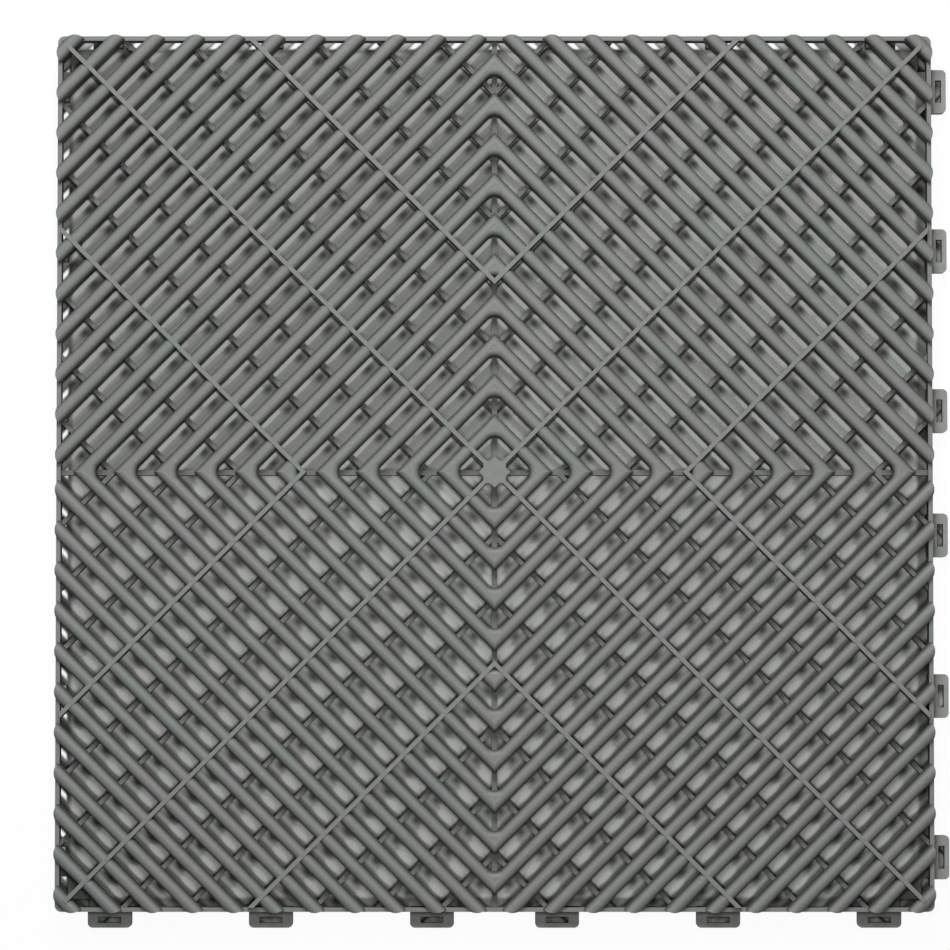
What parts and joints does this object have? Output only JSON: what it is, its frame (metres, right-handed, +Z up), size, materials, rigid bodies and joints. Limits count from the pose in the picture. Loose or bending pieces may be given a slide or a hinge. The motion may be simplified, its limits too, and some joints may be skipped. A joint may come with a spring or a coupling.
{
  "type": "vented garage floor tile",
  "caption": "Square open floor tile of round-topped ribs in concentric diamonds, standing on hollow posts, with clip-together loops and pegs along its edges.",
  "frame": {"origin": "middle of the 400 mm square deck, on the floor under the centre hub's foot", "axes": "+Z up out of the deck, +Y towards the north side with pegs, +X towards the east side with loops"},
  "size_m": [0.4073, 0.4073, 0.018],
  "materials": {
    "grey_plastic": "satin moulded polypropylene, slightly green grey"
  },
  "bodies": {
    "root": {"grid_north_west": "grey_plastic", "grid_north_east": "grey_plastic", "grid_south_west": "grey_plastic", "grid_south_east": "grey_plastic", "centre_hub": "grey_plastic", "edge_frame": "grey_plastic"}
  },
  "joints": []
}
